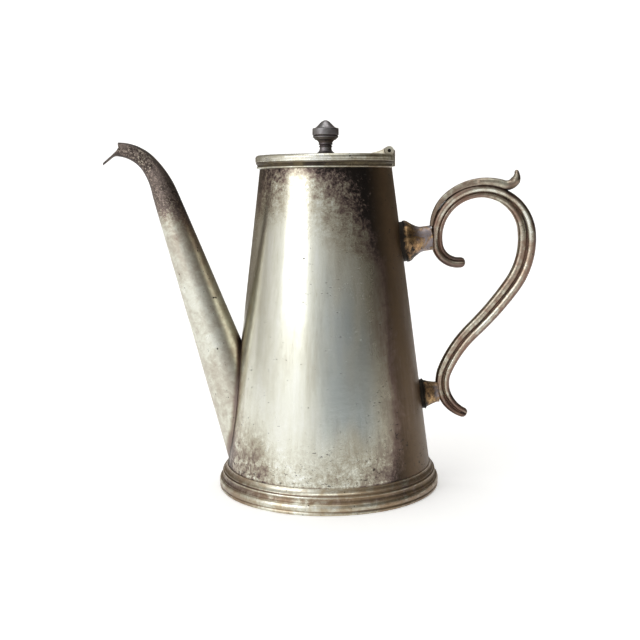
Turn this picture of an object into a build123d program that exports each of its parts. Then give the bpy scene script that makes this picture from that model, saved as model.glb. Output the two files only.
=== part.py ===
from build123d import *
import os
from math import ceil, cos, radians, sin, sqrt

# A silver-plated coffee pot: a tapered sheet body on a moulded foot, a long tapered spout,
# a scroll handle on two turned sockets, and a flat lid on a five-knuckle hinge.
# Frame: origin at the centre of the foot, on the table; +Z up, +X towards the handle.

# Body
BASE_RADIUS = 58.0  # outside of the cone, carried down to the table
MOUTH_RADIUS = 35.3  # outside of the cone at its top edge
BODY_TOP = 177.5
BODY_BOTTOM = 1.6
BODY_WALL = 1.0
BASE_PLATE_LIFT = 5.0
BASE_PLATE_FLANGE = 7.0
BASE_PLATE_THICKNESS = 1.0

# Foot and rim mouldings, soldered round the cone
FOOT_HEIGHT = 12.8
FOOT_STEP = 0.7  # how far the moulding's top edge stands off the cone
FOOT_SPREAD = 3.2  # how far the widest roll stands off the cone's base radius
RIM_HEIGHT = 3.3
RIM_PROJECTION = 2.6

# Spout, a round tapered tube, straight and then bent forward to a beak
SPOUT_START_HEIGHT = 8.0
SPOUT_START_INSET = 20.1  # from the wall inwards to the axis, at the start height
SPOUT_TILT = 18.2  # of the straight part, from the vertical
SPOUT_LENGTH = 163.5
SPOUT_START_RADIUS = 17.1
SPOUT_NECK_RADIUS = 6.7
SPOUT_WALL = 0.8
# radius of the bend, its turn in degrees, and the tube's radius where it ends
SPOUT_BENDS = [(45.0, 20.0, 5.0), (22.5, 51.8, 3.9), (8.0, 38.0, 4.0)]
LIP_LENGTH = 6.5
LIP_END_RADIUS = 3.9
# the cut that opens the mouth, from the end of the second bend
MOUTH_CUT = [
    (0.7, 5.8),
    (2.1, 0.5),
    (1.0, -0.5),
    (-7.4, -7.4),
    (-9.0, -13.0),
    (-20.0, -13.0),
    (-20.0, 5.8),
]

# Strainer, a hexagon of holes through the wall behind the spout
STRAINER_HEIGHT = 50.0
STRAINER_PITCH = 6.0
STRAINER_HOLE_RADIUS = 1.8
STRAINER_RINGS = 2

# Handle: laid out in the wall's own plane, x square to the wall, y up along it,
# from the point where the upper socket's axis leaves the wall
UPPER_SOCKET_DROP = 43.2  # below the body's top edge
SOCKET_SPACING = 85.6
HANDLE_START = (30.4, -15.6)
HANDLE_HEADING = 176.6
HANDLE_START_DEPTH = 5.8
# radius of the arc, its turn in degrees (clockwise below zero), and the depth where it ends
HANDLE_ARCS = [
    (11.9, -84.8, 6.4),
    (24.7, -100.0, 6.8),
    (24.7, -82.8, 9.9),
    (42.8, -41.7, 9.9),
    (176.0, -10.6, 9.1),
    (68.0, 22.6, 8.2),
    (18.6, 60.0, 7.0),
    (18.6, 30.2, 5.5),
]
LOOP_ARCS = 2  # the arcs with the wider outer reed
LOOP_REED_SHARE = 0.62
GRIP_REED_SHARE = 0.48
REED_GROOVE_SHARE = 0.33  # half the width across the groove, of the depth

# Thumb leaf, the strand that lies on the loop and curls up off it
LEAF_START = (17.6, 7.2)
LEAF_HEADING = 77.2
LEAF_START_DEPTH = 2.0
LEAF_ARCS = [(22.8, -46.9, 3.3), (32.3, -56.2, 5.4), (5.6, 80.0, 5.2), (5.6, 38.0, 2.6)]
LEAF_WIDTH = 5.6

# Sockets: (distance from the wall, radius) along the turned profile
UPPER_SOCKET_FLANGE = (2.7, 11.3)
UPPER_SOCKET_WAIST = (8.3, 8.3)
UPPER_SOCKET_NECK = (11.8, 6.7)
LOWER_SOCKET_FLANGE = (2.0, 8.5)
LOWER_SOCKET_WAIST = (6.4, 6.6)
LOWER_SOCKET_NECK = (8.4, 5.8)
SOCKET_SINK = 4.0  # how far a socket is made past the wall before it is trimmed to it
SOCKET_MARGIN = 0.2  # between a socket's end and the strand of the handle
BOSS_MARGIN = 0.6  # the handle's boss is this much smaller in radius than the neck
BOSS_REACH = 3.0  # from the socket's end into the handle

# Hinge
HINGE_INSET = 4.5  # of the pin's axis from the lid's edge
HINGE_LIFT = 5.7  # of the pin's axis above the body's top edge
HINGE_LENGTH = 24.0
KNUCKLE_RADIUS = 2.4
KNUCKLES = 5
PIN_RADIUS = 0.95
PIN_CLEARANCE = 0.05
MOVING_GAP = 0.3
STRAP_INSET = 0.5  # of the strap's outer face from the rim moulding's edge
STRAP_BITE = 0.7  # how far the strap's inner face reaches into the middle knuckle
STRAP_HEIGHT_ABOVE_AXIS = 0.7
STRAP_FOOT = 0.9  # bottom of the strap above the bottom of the rim moulding
LEAF_PLATE_REACH = 10.0  # of the lid's hinge leaf in front of the pin
LEAF_PLATE_NOSE = 16.0

# Lid
LID_RADIUS = 38.0
LID_EDGE_HEIGHT = 3.7
LID_LEDGE = 1.8  # height of the border's ledge, which carries the plate
LID_PLATE_THICKNESS = 1.0
LID_DOME = 1.6
LID_DOME_RADIUS = 32.4
LID_SEAT_RADIUS = 6.0
BEZEL_CLEARANCE = 0.8
BEZEL_WALL = 0.9
BEZEL_DEPTH = 4.0  # into the mouth

# Finial and what holds it
FINIAL_HEIGHT = 17.8
FINIAL_FOOT_RADIUS = 4.9
STUD_RADIUS = 1.5
STUD_IN_FINIAL = 6.0
WASHER_RADIUS = 4.0
WASHER_THICKNESS = 0.6
NUT_ACROSS_FLATS = 5.5
NUT_HEIGHT = 2.4
STUD_PROJECTION = 0.8

# Worked out from the sizes above
taper = (BASE_RADIUS - MOUTH_RADIUS) / BODY_TOP
slope = sqrt(1 + taper**2)
lid_bottom = BODY_TOP + MOVING_GAP
plate_bottom = lid_bottom + LID_LEDGE
plate_top = plate_bottom + LID_PLATE_THICKNESS
seat_height = plate_top + LID_DOME
bezel_radius = MOUTH_RADIUS - BODY_WALL * slope - BEZEL_CLEARANCE
plate_radius = LID_RADIUS - 2.8
hinge_x = LID_RADIUS - HINGE_INSET
hinge_z = BODY_TOP + HINGE_LIFT
knuckle_pitch = (HINGE_LENGTH + MOVING_GAP) / KNUCKLES
strap_inner = hinge_x + KNUCKLE_RADIUS - STRAP_BITE


def body_radius(z, inset=0.0):
    """The cone's radius at a height, or that of a surface the inset inside it."""
    return BASE_RADIUS - taper * z - inset * slope


def profile(*steps):
    """A closed outline in the XZ plane: a pair is a corner, two pairs an arc through one to the next."""
    here = steps[0]
    edges = []
    for step in (*steps[1:], steps[0]):
        if isinstance(step[0], tuple):
            through, end = step
            edges.append(ThreePointArc(*(Vector(x, 0, z) for x, z in (here, through, end))))
        else:
            end = step
            edges.append(Line(Vector(here[0], 0, here[1]), Vector(end[0], 0, end[1])))
        here = end
    return make_face(Wire(edges))


def turned(*steps):
    return revolve(profile(*steps), Axis.Z, 360)


def cone_inside(top):
    """The solid inside the cone, up to a height."""
    return turned((0, 0), (body_radius(0), 0), (body_radius(top), top), (0, top))


def across(radius, length, x=hinge_x, y=0.0, z=hinge_z):
    """A cylinder along Y."""
    return Pos(x, y, z) * Rot(90, 0, 0) * Cylinder(radius, length)


def walk(start, heading, depth, arcs, step=4.0):
    """Points along tangent arcs, as (x, y, heading, depth, arc number), no more than a step apart."""
    x, y = start
    stations = [(x, y, heading, depth, 0)]
    for number, (radius, turn, end_depth) in enumerate(arcs):
        count = ceil(max(radius * abs(radians(turn)) / step, abs(turn) / 15))
        chord = 2 * radius * sin(radians(abs(turn)) / count / 2)
        for i in range(1, count + 1):
            x += chord * cos(radians(heading + turn / count / 2))
            y += chord * sin(radians(heading + turn / count / 2))
            heading += turn / count
            stations.append((x, y, heading, depth + (end_depth - depth) * i / count, number))
        depth = end_depth
    return stations


def wall_plane(z):
    """At a height on the handle side of the wall: x along Y of the frame, z square to the wall."""
    return Plane((body_radius(z), 0, z), x_dir=(0, 1, 0), z_dir=(1, 0, taper))


upper_z = BODY_TOP - UPPER_SOCKET_DROP
upper_wall = wall_plane(upper_z)
outward = upper_wall.z_dir
up_wall = Vector(-outward.Z, 0, outward.X)


def on_wall(x, y):
    """The point of the frame at a place in the handle's own plane."""
    return upper_wall.origin + outward * x + up_wall * y


def section_plane(station):
    """Square to the handle's line at a station, with x away from the middle of the loop."""
    x, y, heading, _, _ = station
    along = outward * cos(radians(heading)) + up_wall * sin(radians(heading))
    side = outward * -sin(radians(heading)) + up_wall * cos(radians(heading))
    return Plane(on_wall(x, y), x_dir=side, z_dir=along)


def rounded_ends(stations, depth_at_start, depth_at_end):
    """The stations with three more at each end, which close the strand like a half round."""
    ends = []
    for station, depth, sign in ((stations[0], depth_at_start, -1), (stations[-1], depth_at_end, 1)):
        x, y, heading, _, number = station
        for turn in (35, 62, 80):
            run = sign * depth / 2 * sin(radians(turn))
            ends.append(
                (x + run * cos(radians(heading)), y + run * sin(radians(heading)),
                 heading, depth * cos(radians(turn)), number)
            )
    return [*reversed(ends[:3]), *stations, *ends[3:]]


# Body shell: spun and seamed sheet, pierced behind the spout
def make_body_shell():
    shell = turned(
        (body_radius(BODY_BOTTOM, BODY_WALL), BODY_BOTTOM),
        (body_radius(BODY_BOTTOM), BODY_BOTTOM),
        (body_radius(BODY_TOP), BODY_TOP),
        (body_radius(BODY_TOP, BODY_WALL), BODY_TOP),
    )
    hole = Pos(-BASE_RADIUS / 2, 0, 0) * Rot(0, 90, 0) * Cylinder(STRAINER_HOLE_RADIUS, BASE_RADIUS)
    for row in range(-STRAINER_RINGS, STRAINER_RINGS + 1):
        count = 2 * STRAINER_RINGS + 1 - abs(row)
        for column in range(count):
            y = (column - (count - 1) / 2) * STRAINER_PITCH
            z = STRAINER_HEIGHT + row * STRAINER_PITCH * sin(radians(60))
            shell -= Pos(0, y, z) * hole
    return shell


# Base plate: a disc with a flange turned down against the wall
def make_base_plate():
    top = BASE_PLATE_LIFT + BASE_PLATE_FLANGE
    under = top - BASE_PLATE_THICKNESS
    inset = BODY_WALL + BASE_PLATE_THICKNESS
    return turned(
        (0, under),
        (body_radius(under, inset), under),
        (body_radius(BASE_PLATE_LIFT, inset), BASE_PLATE_LIFT),
        (body_radius(BASE_PLATE_LIFT, BODY_WALL), BASE_PLATE_LIFT),
        (body_radius(top, BODY_WALL), top),
        (0, top),
    )


# Foot band: a drawn moulding, rebated for the body's bottom edge, and what the pot stands on
def make_foot_band():
    spread = BASE_RADIUS + FOOT_SPREAD
    top = FOOT_HEIGHT
    return turned(
        (body_radius(top), top),
        (body_radius(top) + FOOT_STEP, top - 0.2),
        ((spread - 3.6, top - 2.0), (spread - 2.5, top - 3.1)),
        (spread - 2.6, top - 3.5),
        ((spread - 1.9, top - 4.1), (spread - 1.8, top - 5.0)),
        ((spread - 1.7, top - 6.2), (spread - 1.0, top - 6.9)),
        (spread - 0.7, top - 7.0),
        ((spread, top - 9.0), (spread - 0.1, top - 10.6)),
        (spread - 0.35, top - 10.8),
        (spread - 0.15, top - 11.1),
        (spread - 0.4, 0),
        (body_radius(BODY_BOTTOM, BODY_WALL), 0),
        (body_radius(BODY_BOTTOM, BODY_WALL), BODY_BOTTOM),
        (body_radius(BODY_BOTTOM), BODY_BOTTOM),
    )


def hinge_strap():
    """The curved strap behind the hinge, let into the rim moulding."""
    outer = MOUTH_RADIUS + RIM_PROJECTION - STRAP_INSET
    bottom = BODY_TOP - RIM_HEIGHT + STRAP_FOOT
    top = hinge_z + STRAP_HEIGHT_ABOVE_AXIS
    ring = turned(
        (body_radius(BODY_TOP), BODY_TOP),
        (body_radius(bottom), bottom),
        (outer, bottom),
        (outer, top - 0.8),
        ((outer - 0.4, top - 0.1), (outer - 1.0, top)),
        (strap_inner, top),
        (strap_inner, BODY_TOP),
    )
    return ring & Pos(outer, 0, BODY_TOP) * Box(2 * outer, HINGE_LENGTH, 4 * HINGE_LIFT)


# Rim band: the body's top moulding, with the strap let into it
def make_rim_band():
    out = MOUTH_RADIUS + RIM_PROJECTION
    bottom = BODY_TOP - RIM_HEIGHT
    band = turned(
        (body_radius(bottom), bottom),
        (out - 0.9, bottom + 0.3),
        ((out - 0.4, bottom + 0.8), (out - 0.6, bottom + 1.2)),
        ((out - 0.6, bottom + 2.2), (out, BODY_TOP)),
        (body_radius(BODY_TOP), BODY_TOP),
    )
    return band - hinge_strap()


def spout_tube(inset=0.0):
    """The spout's outside, or with an inset its bore, with the point where the second bend ends."""
    start = Vector(-body_radius(SPOUT_START_HEIGHT) + SPOUT_START_INSET, 0, SPOUT_START_HEIGHT)
    along = Vector(-sin(radians(SPOUT_TILT)), 0, cos(radians(SPOUT_TILT)))
    neck = start + along * SPOUT_LENGTH
    tube = Plane(start, z_dir=along) * Solid.make_cone(
        SPOUT_START_RADIUS - inset, SPOUT_NECK_RADIUS - inset, SPOUT_LENGTH
    )
    stations = walk((neck.X, neck.Z), 90 + SPOUT_TILT, SPOUT_NECK_RADIUS, SPOUT_BENDS, step=2.0)
    x, z, heading, radius, _ = stations[-1]
    run = (LIP_LENGTH * cos(radians(heading)), LIP_LENGTH * sin(radians(heading)))
    stations.append((x + run[0], z + run[1], heading, LIP_END_RADIUS, len(SPOUT_BENDS)))
    rings = []
    for x, z, heading, radius, _ in stations:
        plane = Plane((x, 0, z), x_dir=(0, 1, 0), z_dir=(cos(radians(heading)), 0, sin(radians(heading))))
        rings.append(plane * Circle(radius - inset))
    mouth = [station for station in stations if station[4] == 1][-1]
    return tube + loft(rings, ruled=True), Vector(mouth[0], 0, mouth[1])


# Spout: one seamed tapered tube, trimmed to the wall, its mouth cut to a drooping lip
def make_spout():
    outside, mouth = spout_tube()
    bore, _ = spout_tube(SPOUT_WALL)
    cut = profile(*((mouth.X + x, mouth.Z + z) for x, z in MOUTH_CUT))
    mouth_cut = extrude(cut, SPOUT_NECK_RADIUS, dir=(0, 1, 0), both=True)
    return outside - bore - cone_inside(BODY_TOP) - mouth_cut


def socket_length(y, neck):
    """From the wall to just short of the handle's strand, for a socket at a height in the handle's plane."""
    stations = walk(HANDLE_START, HANDLE_HEADING, HANDLE_START_DEPTH, HANDLE_ARCS, step=1.0)
    return min(s[0] - s[3] / 2 for s in stations if abs(s[1] - y) < neck[1]) - SOCKET_MARGIN


def make_socket(plane, length, flange, waist, neck):
    """A turned socket square to the wall at a plane, trimmed to the wall."""
    edge = 0.5
    outline = make_face(
        Polyline(
            (0, -SOCKET_SINK),
            (flange[1] - edge, -SOCKET_SINK),
            (flange[1] - edge, flange[0] - 2 * edge),
            (flange[1], flange[0] - 1.5 * edge),
            (flange[1], flange[0] - edge),
            (flange[1] - edge, flange[0]),
            (flange[1] - 2 * edge, flange[0]),
            (waist[1], waist[0]),
            (neck[1], neck[0]),
            (neck[1], length),
            (0, length),
            close=True,
        )
    )
    blank = revolve(Plane.XZ * outline, Axis.Z, 360)
    return plane * blank - cone_inside(BODY_TOP)


def reeded_section(station):
    """Two reeds side by side in depth, met in a groove on each side."""
    _, _, _, depth, number = station
    share = LOOP_REED_SHARE if number < LOOP_ARCS else GRIP_REED_SHARE
    outer = depth / 2
    groove = outer - share * depth
    half = REED_GROOVE_SHARE * depth
    outline = Wire([
        ThreePointArc((groove, half), (outer, 0), (groove, -half)),
        ThreePointArc((groove, -half), (-depth / 2, 0), (groove, half)),
    ])
    return section_plane(station) * make_face(outline)


# Handle scroll: a reeded casting, with a boss at each socket
def make_handle():
    stations = walk(HANDLE_START, HANDLE_HEADING, HANDLE_START_DEPTH, HANDLE_ARCS)
    sections = rounded_ends(stations, HANDLE_START_DEPTH, HANDLE_ARCS[-1][2])
    scroll = loft([reeded_section(section) for section in sections])
    for plane, length, neck in (
        (upper_wall, upper_length, UPPER_SOCKET_NECK),
        (lower_wall, lower_length, LOWER_SOCKET_NECK),
    ):
        boss = Pos(0, 0, BOSS_REACH / 2) * Cylinder(neck[1] - BOSS_MARGIN, BOSS_REACH)
        scroll += plane * Pos(0, 0, length) * boss
    return scroll


# Thumb leaf: a flat strand soldered along the loop, its end curled up for the thumb
def make_thumb_leaf(handle):
    stations = walk(LEAF_START, LEAF_HEADING, LEAF_START_DEPTH, LEAF_ARCS, step=1.5)
    ovals = []
    for station in rounded_ends(stations, LEAF_START_DEPTH, LEAF_ARCS[-1][2]):
        a, b = station[3] / 2, min(LEAF_WIDTH, 2.6 * station[3]) / 2
        rim = [(a * cos(radians(turn)), b * sin(radians(turn))) for turn in range(0, 360, 45)]
        ovals.append(section_plane(station) * make_face(Spline(rim, periodic=True)))
    return loft(ovals) - handle


# Hinge: knuckles 1, 3 and 5 on the strap, 2 and 4 on the lid's leaf, one pin through all
def knuckle_centre(number):
    return (number - (KNUCKLES - 1) / 2) * knuckle_pitch


def knuckles(fixed, radius, gap=0.0):
    """The knuckles of one side, each longer by the gap at both ends."""
    length = knuckle_pitch - MOVING_GAP + 2 * gap
    numbers = range(0 if fixed else 1, KNUCKLES, 2)
    return [across(radius, length, y=knuckle_centre(number)) for number in numbers]


def make_hinge_bracket():
    bracket = hinge_strap()
    for room in knuckles(False, KNUCKLE_RADIUS + MOVING_GAP, MOVING_GAP):
        bracket -= room
    for knuckle in knuckles(True, KNUCKLE_RADIUS):
        bracket += knuckle
    return bracket - across(PIN_RADIUS, 2 * HINGE_LENGTH)


def make_hinge_pin():
    return across(PIN_RADIUS, HINGE_LENGTH + MOVING_GAP)


def hinge_room():
    """What the border and the plate leave free for the strap, the barrel and the lid's swing."""
    length = HINGE_LENGTH + 2 * MOVING_GAP
    barrel = across(KNUCKLE_RADIUS + MOVING_GAP, length)
    behind = Pos(hinge_x, 0, hinge_z) * Box(4 * HINGE_LIFT, length, 4 * HINGE_LIFT)
    behind -= Pos(0, 0, hinge_z) * Cylinder(strap_inner - MOVING_GAP, 4 * HINGE_LIFT)
    swing = Pos(hinge_x + HINGE_LIFT, 0, hinge_z) * Box(2 * HINGE_LIFT, 2 * LID_RADIUS, 4 * HINGE_LIFT)
    return [barrel, behind, swing - across(HINGE_LIFT - MOVING_GAP, 2 * LID_RADIUS)]


# Lid border: the moulded ring round the lid, with a ledge for the plate
def make_lid_border():
    top = lid_bottom + LID_EDGE_HEIGHT
    border = turned(
        (bezel_radius, lid_bottom),
        (LID_RADIUS - 0.2, lid_bottom),
        ((LID_RADIUS, lid_bottom + 1.6), (LID_RADIUS - 1.2, top)),
        (LID_RADIUS - 1.8, top),
        (plate_radius, plate_top + 0.3),
        (plate_radius, plate_bottom),
        (bezel_radius, plate_bottom),
    )
    for room in hinge_room():
        border -= room
    return border


def dome(bottom):
    """One face of the lid plate, as the arc from its flat edge to the finial's seat."""
    middle = (LID_DOME_RADIUS + LID_SEAT_RADIUS) / 2
    return ((middle, bottom + LID_DOME * 0.72), (LID_SEAT_RADIUS, bottom + LID_DOME))


# Lid plate: low-domed sheet, flat at the edge and under the finial
def make_lid_plate():
    plate = turned(
        (STUD_RADIUS, plate_bottom + LID_DOME),
        (LID_SEAT_RADIUS, plate_bottom + LID_DOME),
        (dome(plate_bottom)[0], (LID_DOME_RADIUS, plate_bottom)),
        (plate_radius, plate_bottom),
        (plate_radius, plate_top),
        (LID_DOME_RADIUS, plate_top),
        dome(plate_top),
        (STUD_RADIUS, plate_top + LID_DOME),
    )
    for room in hinge_room():
        plate -= room
    return plate


# Lid bezel: the collar that drops into the mouth
def make_lid_bezel():
    return turned(
        (bezel_radius - BEZEL_WALL, BODY_TOP - BEZEL_DEPTH),
        (bezel_radius, BODY_TOP - BEZEL_DEPTH),
        (bezel_radius, plate_bottom),
        (bezel_radius - BEZEL_WALL, plate_bottom),
    )


# Lid hinge leaf: a wedge soldered on the plate, running back into two knuckles
def make_lid_hinge_leaf():
    nose = hinge_x - LEAF_PLATE_REACH
    low = plate_bottom
    wedge = profile(
        (nose, low),
        (nose, seat_height - 0.5),
        (nose + 0.6, seat_height - 0.1),
        (nose + 4.4, hinge_z - 0.1),
        (hinge_x - 1.6, hinge_z + 1.4),
        (hinge_x, hinge_z),
        (hinge_x, hinge_z - KNUCKLE_RADIUS + 0.1),
        (hinge_x - 2.2, low),
    )
    half = HINGE_LENGTH / 2
    plan = Plane.XY * make_face(
        Polyline(
            (nose - 0.1, -LEAF_PLATE_NOSE / 2),
            (hinge_x + 1, -half),
            (hinge_x + 1, half),
            (nose - 0.1, LEAF_PLATE_NOSE / 2),
            close=True,
        )
    )
    leaf = extrude(wedge, HINGE_LENGTH, dir=(0, 1, 0), both=True)
    leaf &= Pos(0, 0, low) * extrude(plan, 2 * HINGE_LIFT)
    leaf -= turned(
        (0, low - 1),
        (LID_RADIUS, low - 1),
        (LID_RADIUS, plate_top),
        (LID_DOME_RADIUS, plate_top),
        dome(plate_top),
        (0, plate_top + LID_DOME),
    )
    for room in knuckles(True, KNUCKLE_RADIUS + MOVING_GAP, MOVING_GAP):
        leaf -= room
    for knuckle in knuckles(False, KNUCKLE_RADIUS):
        leaf += knuckle
    return leaf - across(PIN_RADIUS + PIN_CLEARANCE, 2 * HINGE_LENGTH)


# Finial: turned urn on a waisted stem, drilled for its stud
def make_finial():
    foot, low, high = FINIAL_FOOT_RADIUS, seat_height, seat_height + FINIAL_HEIGHT
    knob = turned(
        (0, low),
        (foot, low),
        (foot, low + 0.5),
        ((foot - 1.4, low + 1.5), (foot - 1.7, low + 3.0)),
        (foot - 1.7, low + 3.9),
        ((foot - 1.2, low + 4.2), (foot - 1.7, low + 4.5)),
        (foot - 1.5, low + 4.9),
        ((foot - 0.8, low + 5.35), (foot - 1.2, low + 5.8)),
        ((foot - 0.4, low + 7.1), (foot + 1.2, low + 8.1)),
        (foot + 1.3, low + 8.5),
        ((foot + 1.9, low + 9.0), (foot + 1.6, low + 9.7)),
        (foot + 2.0, low + 10.0),
        (foot + 2.2, high - 4.4),
        (foot + 2.0, high - 3.9),
        (foot + 0.6, high - 3.7),
        ((foot - 1.3, high - 2.4), (foot - 2.9, high - 0.9)),
        (foot - 3.6, high - 0.6),
        ((foot - 3.9, high - 0.2), (foot - 4.5, high)),
        (0, high),
    )
    return knob - Pos(0, 0, low) * Cylinder(STUD_RADIUS, 2 * STUD_IN_FINIAL)


stack_bottom = plate_bottom + LID_DOME - WASHER_THICKNESS - NUT_HEIGHT


def make_finial_stud():
    bottom = stack_bottom - STUD_PROJECTION
    length = seat_height + STUD_IN_FINIAL - bottom
    return Pos(0, 0, bottom + length / 2) * Cylinder(STUD_RADIUS, length)


def make_finial_washer():
    top = plate_bottom + LID_DOME
    return turned(
        (STUD_RADIUS, top - WASHER_THICKNESS),
        (WASHER_RADIUS, top - WASHER_THICKNESS),
        (WASHER_RADIUS, top),
        (STUD_RADIUS, top),
    )


def make_finial_nut():
    hexagon = RegularPolygon(NUT_ACROSS_FLATS / 2, 6, major_radius=False)
    nut = extrude(Pos(0, 0, stack_bottom) * hexagon, NUT_HEIGHT)
    return nut - Pos(0, 0, stack_bottom) * Cylinder(STUD_RADIUS, 4 * NUT_HEIGHT)


lower_wall = wall_plane(upper_z - SOCKET_SPACING / slope)
upper_length = socket_length(0, UPPER_SOCKET_NECK)
lower_length = socket_length(-SOCKET_SPACING, LOWER_SOCKET_NECK)
handle = make_handle()
nodes = {
    "body_shell": make_body_shell(),
    "base_plate": make_base_plate(),
    "foot_band": make_foot_band(),
    "rim_band": make_rim_band(),
    "spout": make_spout(),
    "upper_socket": make_socket(
        upper_wall, upper_length, UPPER_SOCKET_FLANGE, UPPER_SOCKET_WAIST, UPPER_SOCKET_NECK
    ),
    "lower_socket": make_socket(
        lower_wall, lower_length, LOWER_SOCKET_FLANGE, LOWER_SOCKET_WAIST, LOWER_SOCKET_NECK
    ),
    "handle_scroll": handle,
    "thumb_leaf": make_thumb_leaf(handle),
    "hinge_bracket": make_hinge_bracket(),
    "hinge_pin": make_hinge_pin(),
    "lid_plate": make_lid_plate(),
    "lid_border": make_lid_border(),
    "lid_bezel": make_lid_bezel(),
    "lid_hinge_leaf": make_lid_hinge_leaf(),
    "finial": make_finial(),
    "finial_stud": make_finial_stud(),
    "finial_washer": make_finial_washer(),
    "finial_nut": make_finial_nut(),
}

os.makedirs("parts", exist_ok=True)
for name, shape in nodes.items():
    export_step(shape, f"parts/{name}.step")
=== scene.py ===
import itertools
import math

import bmesh
import bpy
from mathutils import Matrix, Vector, noise


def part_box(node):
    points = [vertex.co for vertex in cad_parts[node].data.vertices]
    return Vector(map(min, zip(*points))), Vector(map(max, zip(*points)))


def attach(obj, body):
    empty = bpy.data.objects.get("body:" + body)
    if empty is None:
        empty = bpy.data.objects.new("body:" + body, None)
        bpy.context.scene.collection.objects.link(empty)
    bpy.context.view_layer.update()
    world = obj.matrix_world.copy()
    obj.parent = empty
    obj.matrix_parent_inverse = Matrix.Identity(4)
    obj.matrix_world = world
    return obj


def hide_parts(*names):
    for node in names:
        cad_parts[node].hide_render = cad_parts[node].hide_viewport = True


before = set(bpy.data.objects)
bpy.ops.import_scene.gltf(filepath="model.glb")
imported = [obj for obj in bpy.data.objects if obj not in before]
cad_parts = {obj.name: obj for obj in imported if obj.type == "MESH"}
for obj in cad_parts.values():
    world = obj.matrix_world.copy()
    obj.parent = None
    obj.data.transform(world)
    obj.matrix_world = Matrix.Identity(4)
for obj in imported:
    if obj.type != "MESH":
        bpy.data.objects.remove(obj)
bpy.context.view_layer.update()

MM = 0.001


# ---------------------------------------------------------------------------------------------
# Body shell: a straight-sided cone of sheet nickel silver, seamed, planished and silver plated.
# The foot and the rim are soldered round it, and it is pierced as a strainer behind the spout.
# Its plate is worn thin, clouded with brown and plum tarnish, and pitted near the table.
# Its colour also holds a painted highlight, painted shade and painted reflections, set by the side facing
# the camera.
# ---------------------------------------------------------------------------------------------
class Signal:
    """A shader socket that works in sums like a number; its node method adds any other node."""

    def __init__(self, tree, socket=None):
        self.tree, self.socket = tree, socket

    def node(self, kind, settings=None, inputs=None, output=0):
        made = self.tree.nodes.new(kind)
        for name, value in (settings or {}).items():
            if name == "stops":
                ramp = made.color_ramp.elements
                while len(ramp) < len(value):
                    ramp.new(1.0)
                for stop, (place, colour) in zip(ramp, value):
                    stop.position = place
                    stop.color = (*colour, 1.0) if len(colour) == 3 else colour
            else:
                setattr(made, name, value)
        for name, value in (inputs or {}).items():
            if isinstance(value, Signal):
                self.tree.links.new(value.socket, made.inputs[name])
            else:
                made.inputs[name].default_value = value
        return Signal(self.tree, made.outputs[output])

    def math(self, operation, *others, clamp=False):
        values = dict(enumerate((self, *others)))
        return self.node("ShaderNodeMath", {"operation": operation, "use_clamp": clamp}, values)

    def __add__(self, other):
        return self.math("ADD", other)

    def __sub__(self, other):
        return self.math("SUBTRACT", other)

    def __mul__(self, other):
        return self.math("MULTIPLY", other)

    def __truediv__(self, other):
        return self.math("DIVIDE", other)

    def __rsub__(self, other):
        return self.node("ShaderNodeMath", {"operation": "SUBTRACT"}, {0: other, 1: self})

    __radd__ = __add__
    __rmul__ = __mul__

    def held(self):
        """Kept between 0 and 1."""
        return self.math("ADD", 0.0, clamp=True)

    def step(self, low, high):
        """0 below low, 1 above high, smooth between; low above high turns it round."""
        ends = {"Value": self, "From Min": low, "From Max": high}
        return self.node("ShaderNodeMapRange", {"interpolation_type": "SMOOTHSTEP"}, ends)

    def ramp(self, *stops):
        return self.node("ShaderNodeValToRGB", {"stops": stops}, {0: self})

    def mix(self, other, factor):
        """This colour turned towards another by a factor."""
        values = {0: factor, 6: self, 7: other}
        return self.node("ShaderNodeMix", {"data_type": "RGBA"}, values, output=2)


def new_material(name):
    """A material, and the place on the piece in its own space."""
    material = bpy.data.materials.new(name)
    material.use_nodes = True
    place = Signal(material.node_tree).node("ShaderNodeTexCoord", output=3)
    return material, place


def grain(place, scale, detail=3.0, stretch=(1, 1, 1), offset=(0, 0, 0), rough=0.55, warp=0.0):
    """Noise in the object's own space, 0 to 1, at so many cells a metre."""
    at = place.node("ShaderNodeMapping", None, {"Vector": place, "Scale": stretch, "Location": offset})
    values = {"Vector": at, "Scale": scale, "Detail": detail, "Roughness": rough, "Distortion": warp}
    return at.node("ShaderNodeTexNoise", None, values)


def cells(place, scale, stretch):
    """Distance to the nearest of scattered points, at so many cells a metre."""
    at = place.node("ShaderNodeMapping", None, {"Vector": place, "Scale": stretch})
    return at.node("ShaderNodeTexVoronoi", None, {"Vector": at, "Scale": scale})


def split(place):
    """The three measures of a place, in metres."""
    return [place.node("ShaderNodeSeparateXYZ", None, {0: place}, output=i) for i in range(3)]


RELIEF_DISTANCE = 0.3 * MM
PIT_COLOUR = (0.03, 0.025, 0.02, 1)
# From clean plate to black, by the thickness of the film
TARNISH_STOPS = [
    (0.00, (0.82, 0.83, 0.79)),
    (0.18, (0.68, 0.68, 0.59)),
    (0.36, (0.46, 0.43, 0.34)),
    (0.52, (0.28, 0.23, 0.185)),
    (0.68, (0.145, 0.105, 0.095)),
    (0.84, (0.055, 0.042, 0.038)),
    (1.00, (0.018, 0.014, 0.012)),
]


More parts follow.
